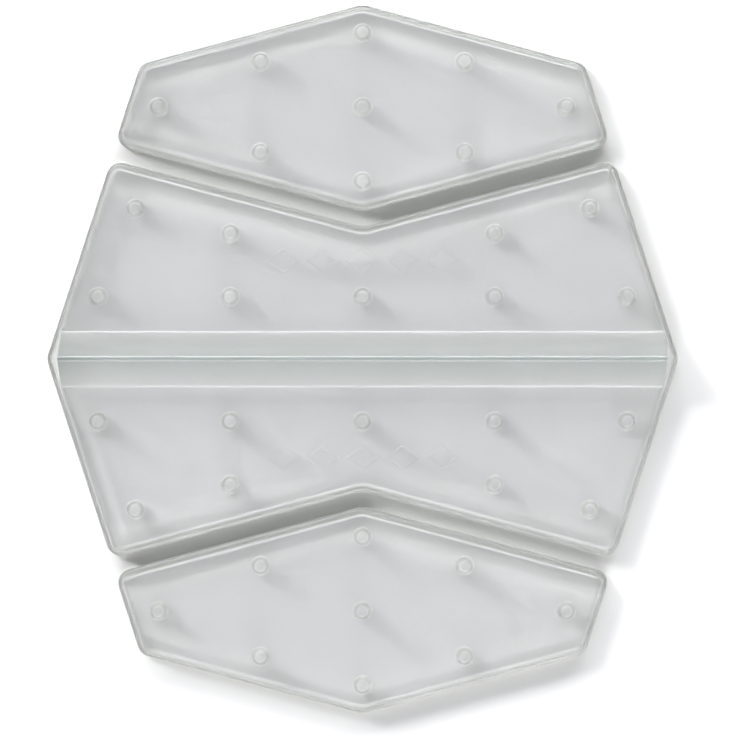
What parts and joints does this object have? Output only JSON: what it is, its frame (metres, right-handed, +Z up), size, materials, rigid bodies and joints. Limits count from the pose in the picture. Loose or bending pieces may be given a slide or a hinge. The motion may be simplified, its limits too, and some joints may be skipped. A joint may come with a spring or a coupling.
{
  "type": "snowboard stomp pad",
  "caption": "Clear moulded stomp pad: a chevron-notched center section with a heel ridge and a matching wing on each side, all with domed grip studs, adhesive sheets and release liners.",
  "frame": {"origin": "middle of the center section's footprint, on the surface that the liners lie on", "axes": "+Z up, away from the surface that the pad sticks to; +X along the heel ridge; +Y across the ridge, from the lower wing to the upper wing"},
  "size_m": [0.134, 0.1504, 0.0088],
  "materials": {
    "clear_pad": "clear moulded polyurethane, glossy, faintly grey, with a soft yellow-green tint where it is seen edge-on",
    "adhesive": "translucent pressure-sensitive adhesive sheet, faintly yellow-green at its cut edge",
    "liner": "white siliconed release paper, satin"
  },
  "bodies": {
    "center_backing": {"center_liner": "liner"},
    "center_section": {"center_adhesive": "adhesive", "center_pad": "clear_pad"},
    "upper_wing_backing": {"upper_wing_liner": "liner"},
    "upper_wing_section": {"upper_wing_adhesive": "adhesive", "upper_wing_pad": "clear_pad"},
    "lower_wing_backing": {"lower_wing_liner": "liner"},
    "lower_wing_section": {"lower_wing_adhesive": "adhesive", "lower_wing_pad": "clear_pad"}
  },
  "joints": [
    {"name": "center_section_lift", "type": "slide", "parent": "center_backing", "child": "center_section", "axis": [0, 0, 1], "range_m": [0, 0.03]},
    {"name": "upper_wing_spread", "type": "slide", "parent": "center_backing", "child": "upper_wing_backing", "axis": [0, 1, 0], "range_m": [-0.003, 0.025]},
    {"name": "upper_wing_lift", "type": "slide", "parent": "upper_wing_backing", "child": "upper_wing_section", "axis": [0, 0, 1], "range_m": [0, 0.03]},
    {"name": "lower_wing_spread", "type": "slide", "parent": "center_backing", "child": "lower_wing_backing", "axis": [0, -1, 0], "range_m": [-0.003, 0.025]},
    {"name": "lower_wing_lift", "type": "slide", "parent": "lower_wing_backing", "child": "lower_wing_section", "axis": [0, 0, 1], "range_m": [0, 0.03]}
  ]
}
